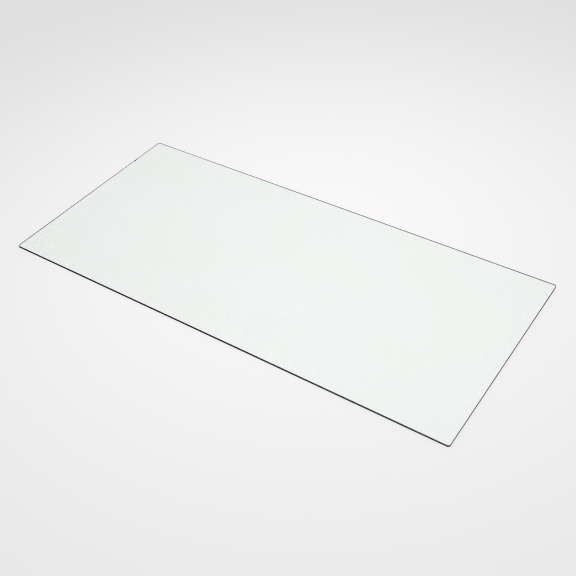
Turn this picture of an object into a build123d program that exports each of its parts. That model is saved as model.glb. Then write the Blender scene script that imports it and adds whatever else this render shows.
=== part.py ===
from build123d import *
import os

# Driving dimensions of the pane, in millimetres
pane_width = 660.0  # left to right along X, the long front edge
pane_depth = 305.0  # front to back along Y
pane_thickness = 3.2  # eighth-inch sheet, up along Z
corner_radius = 3.2  # rounding of the four corners, seen from above
arris_leg = 0.5  # 45-degree seam ground off each rim, measured along the face


def glass_blank():
    # One flat sheet cut to outline, lying on its underside and centred on the origin
    outline = RectangleRounded(pane_width, pane_depth, corner_radius)
    return extrude(outline, amount=pane_thickness)


def seam_rims(blank):
    # The seam follows the rim of both faces, round the corners too, and leaves a flat ground land between
    faces_up = blank.faces().sort_by(Axis.Z)
    rims = faces_up[0].edges() + faces_up[-1].edges()
    return chamfer(rims, length=arris_leg)


def cover_glass():
    pane = seam_rims(glass_blank())
    pane.label = "cover_glass"
    return pane


os.makedirs("parts", exist_ok=True)
export_step(cover_glass(), "parts/cover_glass.step")
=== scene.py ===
import math

import bmesh
import bpy
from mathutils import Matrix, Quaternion, Vector, noise


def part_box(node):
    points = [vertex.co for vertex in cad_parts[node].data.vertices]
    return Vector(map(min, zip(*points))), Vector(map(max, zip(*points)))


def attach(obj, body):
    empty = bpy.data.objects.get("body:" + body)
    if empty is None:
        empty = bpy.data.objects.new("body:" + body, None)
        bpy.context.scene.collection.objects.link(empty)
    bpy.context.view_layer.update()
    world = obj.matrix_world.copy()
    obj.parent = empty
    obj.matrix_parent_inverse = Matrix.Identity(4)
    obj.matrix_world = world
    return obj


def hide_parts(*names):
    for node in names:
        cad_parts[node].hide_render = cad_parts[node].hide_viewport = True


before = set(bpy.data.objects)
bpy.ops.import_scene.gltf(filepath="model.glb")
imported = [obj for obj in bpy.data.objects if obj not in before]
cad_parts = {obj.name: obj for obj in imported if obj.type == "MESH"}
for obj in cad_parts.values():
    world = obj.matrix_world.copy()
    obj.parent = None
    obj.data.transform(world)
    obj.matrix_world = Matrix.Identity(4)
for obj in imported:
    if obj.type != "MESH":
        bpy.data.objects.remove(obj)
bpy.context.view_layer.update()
scene = bpy.context.scene
scene.view_settings.view_transform = "Standard"
print("frame loaded, nodes:", sorted(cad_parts))

# The pane: one sheet with rounded corners, a ground land all round and a seam on both rims. Metres.
pane = {
    "cornerRadius": 0.0032,  # seen from above
    "seam": 0.0005,  # 45-degree seam on each rim
    "seamSpread": 0.00035,  # it was ground this much wider at the back left corner
    "spreadReach": 0.26,  # and narrows again over this much edge
    "seamStray": 0.00008,  # how far the grinding belt wandered
    "strayLength": 0.045,  # over about this much edge
    "strayRows": (7.3, 2.1),  # where in the noise the lower and the upper rim wander
    "edgeRound": 0.00005,  # softening where two ground faces meet
    "sideStep": 0.005,  # point spacing along the sides
    "cornerSteps": 16,  # points round each corner
    "weld": 0.00001,  # points nearer than this become one
    "nickSpot": 0.0938,  # small chip under the left end, from its middle towards the back
    "nickLength": 0.0032,
    "nickDepth": 0.0018,
    "nickScoop": 0.08,  # share of the depth by which its shell is hollowed
    "nickDullAndShade": (0.00182, 0.0026),  # its dull finish and the land's painted shade are whole as far as this, and gone at that
    "nickSteps": 14,  # points through it
}


def spacedFrom(start, end, step):
    count = max(1, round(abs(end - start) / step))
    return [start + (end - start) * k / count for k in range(1, count)]


def rimStations(halfX, halfY, shape):
    # (place on the outline, outward direction), anticlockwise from the right end
    radius, step = shape["cornerRadius"], shape["sideStep"]
    runX, runY = halfX - radius, halfY - radius
    chipBack = shape["nickSpot"] + shape["nickLength"] / 2
    chipFront = shape["nickSpot"] - shape["nickLength"] / 2
    leftEnd = spacedFrom(runY, chipBack, step) + [chipBack]
    leftEnd += spacedFrom(chipBack, chipFront, shape["nickLength"] / shape["nickSteps"]) + [chipFront]
    leftEnd += spacedFrom(chipFront, -runY, step)
    sides = (  # the side that follows each corner
        ((0, 1, 0), [(x, halfY, 0) for x in spacedFrom(runX, -runX, step)]),
        ((-1, 0, 0), [(-halfX, y, 0) for y in leftEnd]),
        ((0, -1, 0), [(x, -halfY, 0) for x in spacedFrom(-runX, runX, step)]),
        ((1, 0, 0), [(halfX, y, 0) for y in spacedFrom(-runY, runY, step)]),
    )
    stations = []
    for turn, (sideX, sideY) in enumerate(((1, 1), (-1, 1), (-1, -1), (1, -1))):
        centre = Vector((sideX * runX, sideY * runY, 0))
        for k in range(shape["cornerSteps"] + 1):
            angle = math.radians(90 * (turn + k / shape["cornerSteps"]))
            out = Vector((math.cos(angle), math.sin(angle), 0))
            stations.append((centre + out * radius, out))
        out, places = sides[turn]
        stations += [(Vector(place), Vector(out)) for place in places]
    return stations


def chipDepth(place, shape):
    if place.x > 0:  # the other end is whole
        return 0.0
    reach = (place.y - shape["nickSpot"]) / (shape["nickLength"] / 2)
    return shape["nickDepth"] * max(0.0, 1 - reach * reach)


def edgeSection(seamLow, seamHigh, chip, thickness, shape):
    # (inset from the outline, height), from the flat of the underside round to the flat of the top
    soft, flat = shape["edgeRound"], shape["cornerRadius"]
    seamLow += chip
    slant = soft * math.sqrt(0.5)
    scooped = seamLow / 2 + shape["nickScoop"] * chip
    return [
        (flat, 0),
        (seamLow + soft, 0),
        (seamLow - slant, slant),
        (scooped, scooped),
        (slant, seamLow - slant),
        (0, seamLow + soft),
        (0, thickness - seamHigh - soft),
        (slant, thickness - seamHigh + slant),
        (seamHigh - slant, thickness - slant),
        (seamHigh + soft, thickness),
        (flat, thickness),
    ]


def closeFace(mesh, rim, reach, up):
    # in to a ridge along the middle, since one large face would be cut into slivers
    ridge = {}
    inner = []
    for point in rim:
        # to a micrometre, so that both long sides share the ridge's points
        x = round(max(-reach, min(reach, point.co.x)), 6)
        if x not in ridge:
            ridge[x] = mesh.verts.new((x, 0, point.co.z))
        inner.append(ridge[x])
    for k in range(len(rim)):
        corners = [rim[k - 1], rim[k], inner[k]]
        if inner[k - 1] is not inner[k]:
            corners.append(inner[k - 1])
        mesh.faces.new(corners if up else reversed(corners))


def buildPane(shape):
    low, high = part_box("cover_glass")
    half = (high - low) / 2
    thickness = high.z - low.z
    wideCorner = Vector((-half.x, half.y, 0))
    rowLow, rowHigh = (Vector((0, 0, row)) for row in shape["strayRows"])
    rings = []
    mesh = bmesh.new()
    for place, out in rimStations(half.x, half.y, shape):
        near = max(0.0, 1 - (place - wideCorner).length / shape["spreadReach"])
        seam = shape["seam"] + shape["seamSpread"] * near * near * (3 - 2 * near)
        drift = place / shape["strayLength"]
        seamLow = seam + shape["seamStray"] * noise.noise(drift + rowLow)
        seamHigh = seam + shape["seamStray"] * noise.noise(drift + rowHigh)
        section = edgeSection(seamLow, seamHigh, chipDepth(place, shape), thickness, shape)
        points = [place - out * inset + Vector((0, 0, low.z + up)) for inset, up in section]
        rings.append([mesh.verts.new(point) for point in points])
    for here, there in zip(rings, rings[1:] + rings[:1]):
        for k in range(len(here) - 1):
            mesh.faces.new((here[k], there[k], there[k + 1], here[k + 1])).smooth = True
        for start, end in zip(here, there):  # crisp across the section, smooth round the corners
            mesh.edges.get((start, end)).smooth = False
    closeFace(mesh, [ring[-1] for ring in rings], half.x - half.y, True)  # top face
    closeFace(mesh, [ring[0] for ring in rings], half.x - half.y, False)  # underside
    # the inner points of each corner meet in one
    bmesh.ops.remove_doubles(mesh, verts=mesh.verts, dist=shape["weld"])
    data = bpy.data.meshes.new("coverGlass")
    mesh.to_mesh(data)
    mesh.free()
    piece = bpy.data.objects.new("coverGlass", data)
    scene.collection.objects.link(piece)
    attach(piece, "root")
    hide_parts("cover_glass")
    print("pane built:", len(data.vertices), "points,", len(data.polygons), "faces")
    return piece


def addNode(tree, kind, place, **settings):
    node = tree.nodes.new(kind)
    node.location = place
    for name, value in settings.items():
        setattr(node, name, value)
    return node


def addMix(tree, place, factor, first, second, kind="FLOAT"):
    # a Mix node of numbers or colours; first and second are sockets or plain values
    node = addNode(tree, "ShaderNodeMix", place, data_type=kind)
    pick = {"FLOAT": (2, 3, 0), "RGBA": (6, 7, 2)}[kind]  # its two inputs and its output of that kind
    tree.links.new(factor, node.inputs[0])
    for index, value in zip(pick, (first, second)):
        if isinstance(value, bpy.types.NodeSocket):
            tree.links.new(value, node.inputs[index])
        else:
            node.inputs[index].default_value = value
    return node.outputs[pick[2]]


def addRange(tree, place, value, fromLow, fromHigh, toLow=0.0, toHigh=1.0):
    node = addNode(tree, "ShaderNodeMapRange", place, interpolation_type="SMOOTHSTEP")
    node.inputs["From Min"].default_value = fromLow
    node.inputs["From Max"].default_value = fromHigh
    node.inputs["To Min"].default_value = toLow
    node.inputs["To Max"].default_value = toHigh
    tree.links.new(value, node.inputs["Value"])
    return node.outputs["Result"]


# Marks that run along a surface: fine streaks for a ground edge, slow waves for a rolled face
grain = {
    "detail": 3.0,
    "middle": 0.5,  # mean of the noise
    "shadeRange": (0.3, 0.7),  # the noise that goes from a finish's first tint to its second
}


def grainGroup(look):
    group = bpy.data.node_groups.new("runningGrain", "ShaderNodeTree")
    for name in ("Along", "Across", "Roughness", "Stray"):  # each finish sets its own
        group.interface.new_socket(name, in_out="INPUT", socket_type="NodeSocketFloat")
    for name in ("Height", "Roughness", "Shade"):
        group.interface.new_socket(name, in_out="OUTPUT", socket_type="NodeSocketFloat")
    source = addNode(group, "NodeGroupInput", (-900, 0))
    sink = addNode(group, "NodeGroupOutput", (500, 0))
    spot = addNode(group, "ShaderNodeTexCoord", (-900, 250))
    stretch = addNode(group, "ShaderNodeCombineXYZ", (-700, 0))
    for axis, name in (("X", "Along"), ("Y", "Along"), ("Z", "Across")):
        group.links.new(source.outputs[name], stretch.inputs[axis])
    place = addNode(group, "ShaderNodeVectorMath", (-500, 150), operation="MULTIPLY")
    group.links.new(spot.outputs["Object"], place.inputs[0])
    group.links.new(stretch.outputs[0], place.inputs[1])
    marks = addNode(group, "ShaderNodeTexNoise", (-300, 150))
    marks.inputs["Scale"].default_value = 1.0
    marks.inputs["Detail"].default_value = look["detail"]
    group.links.new(place.outputs[0], marks.inputs["Vector"])
    centred = addNode(group, "ShaderNodeMath", (-100, -50), operation="SUBTRACT")
    group.links.new(marks.outputs["Fac"], centred.inputs[0])
    centred.inputs[1].default_value = look["middle"]
    rough = addNode(group, "ShaderNodeMath", (150, -100), operation="MULTIPLY_ADD", use_clamp=True)
    group.links.new(centred.outputs[0], rough.inputs[0])
    group.links.new(source.outputs["Stray"], rough.inputs[1])
    group.links.new(source.outputs["Roughness"], rough.inputs[2])
    shade = addRange(group, (150, 200), marks.outputs["Fac"], *look["shadeRange"])
    group.links.new(marks.outputs["Fac"], sink.inputs["Height"])
    group.links.new(rough.outputs[0], sink.inputs["Roughness"])
    group.links.new(shade, sink.inputs["Shade"])
    return group


# Clear float glass: the body colour is in the volume, the finish of faces, land and seam in the surface;
# the dark of the land and seam is painted shade
glass = {
    "ior": 1.52,
    "bodyColour": (0.25, 0.75, 0.45, 1),  # what the volume leaves of each colour
    "bodyDensity": 10.0,  # per metre
    "faceTilt": (0.93, 0.99),  # height of the normal where a polished face starts, and where it is whole
    "landTilt": (0.30, 0.55),  # where the upright land is still whole, and where it ends
    "faceTints": ((0.969, 0.998, 0.977, 1), (0.979, 0.998, 0.985, 1)),
    # near-black land and dark grey seam: painted shade for the dark edge lines, with the glass's own
    # green in the land
    "landTints": ((0.004, 0.018, 0.012, 1), (0.010, 0.036, 0.025, 1)),
    "seamTints": ((0.165, 0.190, 0.183, 1), (0.245, 0.277, 0.270, 1)),
    "face": {"Along": 9.0, "Across": 9.0, "Roughness": 0.01, "Stray": 0.02},
    "land": {"Along": 60.0, "Across": 9000.0, "Roughness": 0.9, "Stray": 0.1},
    "seam": {"Along": 90.0, "Across": 14000.0, "Roughness": 0.26, "Stray": 0.16},
    "grainDepth": 0.000004,  # height of the grinding marks
}


def glassMaterial(look, chipSpot, chipDullAndShade):
    material = bpy.data.materials.new("clearGlass")
    material.use_nodes = True
    tree = material.node_tree
    shader = tree.nodes["Principled BSDF"]
    shader.distribution = "GGX"  # the ground edges swallow some light
    shader.inputs["Metallic"].default_value = 0.0
    shader.inputs["Transmission Weight"].default_value = 1.0
    shader.inputs["IOR"].default_value = look["ior"]

    # the tilt of the surface tells face from seam from land
    form = addNode(tree, "ShaderNodeNewGeometry", (-1500, 300))
    tilt = addNode(tree, "ShaderNodeSeparateXYZ", (-1300, 300))
    tree.links.new(form.outputs["True Normal"], tilt.inputs[0])
    level = addNode(tree, "ShaderNodeMath", (-1100, 300), operation="ABSOLUTE")
    tree.links.new(tilt.outputs["Z"], level.inputs[0])
    onFace = addRange(tree, (-900, 400), level.outputs[0], *look["faceTilt"])
    onGround = addRange(tree, (-900, 200), level.outputs[0], *look["landTilt"], 1.0, 0.0)

    # the chip's shell is as dull as the land and takes its near-black painted shade
    spot = addNode(tree, "ShaderNodeTexCoord", (-1500, 600))
    away = addNode(tree, "ShaderNodeVectorMath", (-1300, 600), operation="DISTANCE")
    away.inputs[1].default_value = chipSpot
    tree.links.new(spot.outputs["Object"], away.inputs[0])
    inChip = addRange(tree, (-1100, 600), away.outputs["Value"], *chipDullAndShade, 1.0, 0.0)
    either = addNode(tree, "ShaderNodeMath", (-700, 300), operation="MAXIMUM")
    tree.links.new(onGround, either.inputs[0])
    tree.links.new(inChip, either.inputs[1])
    onLand = either.outputs[0]

    group = grainGroup(grain)
    marks, tint = {}, {}
    for row, name in enumerate(("face", "land", "seam")):
        lane = -100 - 260 * row
        node = addNode(tree, "ShaderNodeGroup", (-1100, lane), node_tree=group, label=name)
        for socket, value in look[name].items():
            node.inputs[socket].default_value = value
        marks[name] = node.outputs
        tint[name] = addMix(tree, (-850, lane), node.outputs["Shade"], *look[name + "Tints"], kind="RGBA")

    # the land's near-black and the seam's dark grey are painted shade
    edgeShadeColour = addMix(tree, (-600, 100), onLand, tint["seam"], tint["land"], kind="RGBA")
    colour = addMix(tree, (-400, 100), onFace, edgeShadeColour, tint["face"], kind="RGBA")
    tree.links.new(colour, shader.inputs["Base Color"])
    edgeRough = addMix(tree, (-600, -150), onLand, marks["seam"]["Roughness"], marks["land"]["Roughness"])
    rough = addMix(tree, (-400, -150), onFace, edgeRough, marks["face"]["Roughness"])
    tree.links.new(rough, shader.inputs["Roughness"])
    edgeMarks = addMix(tree, (-600, -400), onLand, marks["seam"]["Height"], marks["land"]["Height"])
    height = addMix(tree, (-400, -400), onFace, edgeMarks, grain["middle"])  # the polished face has none
    bump = addNode(tree, "ShaderNodeBump", (-200, -400))
    bump.inputs["Distance"].default_value = look["grainDepth"]
    tree.links.new(height, bump.inputs["Height"])
    tree.links.new(bump.outputs["Normal"], shader.inputs["Normal"])

    body = addNode(tree, "ShaderNodeVolumeAbsorption", (0, -600))
    body.inputs["Color"].default_value = look["bodyColour"]
    body.inputs["Density"].default_value = look["bodyDensity"]
    tree.links.new(body.outputs["Volume"], tree.nodes["Material Output"].inputs["Volume"])
    return material


coverGlass = buildPane(pane)
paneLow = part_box("cover_glass")[0]
chipSpot = (paneLow.x, pane["nickSpot"], paneLow.z)
coverGlass.data.materials.append(glassMaterial(glass, chipSpot, pane["nickDullAndShade"]))
print("glass finished")

# Pale paper floor with a soft pool of light painted into its colour: lighter in the middle, darker away
# from it
stage = {
    "paintedPoolColours": ((0.952, 0.937, 0.943, 1), (0.758, 0.749, 0.752, 1)),  # paper colour with a painted pool of light: in the pool, far from it
    # middle and reach of the painted pool of light
    "paintedPoolCentre": (0.013, 0.083, 0.0),
    "paintedPoolReach": 0.95,
    "ownLight": 0.8,  # share of the paper's colour that is seen as it is, the rest takes light and shadow
    "paperRough": 0.9,
    "paperGloss": 0.1,
    "paperSize": 16.0,
    "airGap": 0.0001,  # the pane never quite meets the paper
    "skyColour": (0.730, 0.720, 0.724, 1),
    "glowColour": (1.15, 1.15, 1.15, 1),  # a soft bright patch of the room, high behind the pane
    "glowAim": (-0.064, 0.35, 0.935),
    "glowSpread": (36.0, 18.0),  # degrees from its middle: where it starts, where it is full
    "boxSize": 1.8,
    "boxHeight": 1.6,
    "boxPower": 7.1,
}


def paperMaterial(look):
    material = bpy.data.materials.new("palePaper")
    material.use_nodes = True
    tree = material.node_tree
    shader = tree.nodes["Principled BSDF"]
    shader.inputs["Roughness"].default_value = look["paperRough"]
    shader.inputs["Specular IOR Level"].default_value = look["paperGloss"]
    spot = addNode(tree, "ShaderNodeTexCoord", (-900, 0))
    away = addNode(tree, "ShaderNodeVectorMath", (-700, 0), operation="DISTANCE")
    away.inputs[1].default_value = look["paintedPoolCentre"]
    tree.links.new(spot.outputs["Object"], away.inputs[0])
    # painted pool of light: the paper's colour darkens from the middle outwards
    paintedPoolFade = addRange(tree, (-500, 0), away.outputs["Value"], 0.0, look["paintedPoolReach"])
    colour = addMix(tree, (-300, 0), paintedPoolFade, *look["paintedPoolColours"], kind="RGBA")
    tree.links.new(colour, shader.inputs["Base Color"])

    # what is looked at directly, or in and through the glass, keeps most of its colour, the painted pool
    # of light included, as a glow
    pale = addNode(tree, "ShaderNodeEmission", (0, -350))
    tree.links.new(colour, pale.inputs["Color"])
    path = addNode(tree, "ShaderNodeLightPath", (-700, 500))
    seen = path.outputs["Is Camera Ray"]
    for row, name in enumerate(("Is Glossy Ray", "Is Transmission Ray")):
        either = addNode(tree, "ShaderNodeMath", (-500 + 200 * row, 400), operation="MAXIMUM")
        tree.links.new(seen, either.inputs[0])
        tree.links.new(path.outputs[name], either.inputs[1])
        seen = either.outputs[0]
    share = addNode(tree, "ShaderNodeMath", (-50, 400), operation="MULTIPLY")
    tree.links.new(seen, share.inputs[0])
    share.inputs[1].default_value = look["ownLight"]
    both = addNode(tree, "ShaderNodeMixShader", (300, 100))
    tree.links.new(share.outputs[0], both.inputs[0])
    tree.links.new(shader.outputs[0], both.inputs[1])
    tree.links.new(pale.outputs[0], both.inputs[2])
    tree.links.new(both.outputs[0], tree.nodes["Material Output"].inputs["Surface"])
    return material


def roomLight(look):
    world = bpy.data.worlds.new("softRoom")
    world.use_nodes = True
    tree = world.node_tree
    way = addNode(tree, "ShaderNodeTexCoord", (-900, 0))
    along = addNode(tree, "ShaderNodeVectorMath", (-700, 0), operation="DOT_PRODUCT")
    along.inputs[1].default_value = Vector(look["glowAim"]).normalized()
    tree.links.new(way.outputs["Generated"], along.inputs[0])
    edge, full = (math.cos(math.radians(angle)) for angle in look["glowSpread"])
    glow = addRange(tree, (-500, 0), along.outputs["Value"], edge, full)
    colour = addMix(tree, (-300, 0), glow, look["skyColour"], look["glowColour"], kind="RGBA")
    tree.links.new(colour, tree.nodes["Background"].inputs["Color"])
    return world


def buildStage(look):
    mesh = bmesh.new()
    bmesh.ops.create_grid(mesh, x_segments=1, y_segments=1, size=look["paperSize"] / 2)
    data = bpy.data.meshes.new("paper")
    mesh.to_mesh(data)
    mesh.free()
    data.materials.append(paperMaterial(look))
    paper = bpy.data.objects.new("paper", data)
    paper.location.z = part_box("cover_glass")[0].z - look["airGap"]
    scene.collection.objects.link(paper)

    scene.world = roomLight(look)

    lamp = bpy.data.lights.new("softBox", "AREA")
    lamp.shape = "SQUARE"
    lamp.size = look["boxSize"]
    lamp.energy = look["boxPower"]
    box = bpy.data.objects.new("softBox", lamp)
    box.location = (0, 0, look["boxHeight"])
    box.visible_glossy = False  # the glass mirrors the room, not the lamp
    scene.collection.objects.link(box)
    scene.cycles.blur_glossy = 0.0  # light that comes through the pane stays sharp and whole
    scene.cycles.filter_width = 1.0  # the edges are thin lines, and crisp in the photograph


buildStage(stage)
print("paper and light set")

# The photograph's viewpoint, solved from the pane's four corners
view = {
    "spot": (0.5534, -0.74233, 0.78123),
    "aim": (0.0392, -0.02934, 0.0016),
    "roll": -2.934,  # degrees
    "lens": 56.8,  # millimetres
    "sensor": 36.0,  # millimetres
}


def buildCamera(look):
    data = bpy.data.cameras.new("camera")
    data.lens = look["lens"]
    data.sensor_width = look["sensor"]
    camera = bpy.data.objects.new("camera", data)
    camera.location = look["spot"]
    camera.rotation_mode = "QUATERNION"
    facing = (Vector(look["aim"]) - Vector(look["spot"])).to_track_quat("-Z", "Y")
    camera.rotation_quaternion = facing @ Quaternion((0, 0, 1), math.radians(look["roll"]))
    scene.collection.objects.link(camera)
    scene.camera = camera


buildCamera(view)
print("camera set")
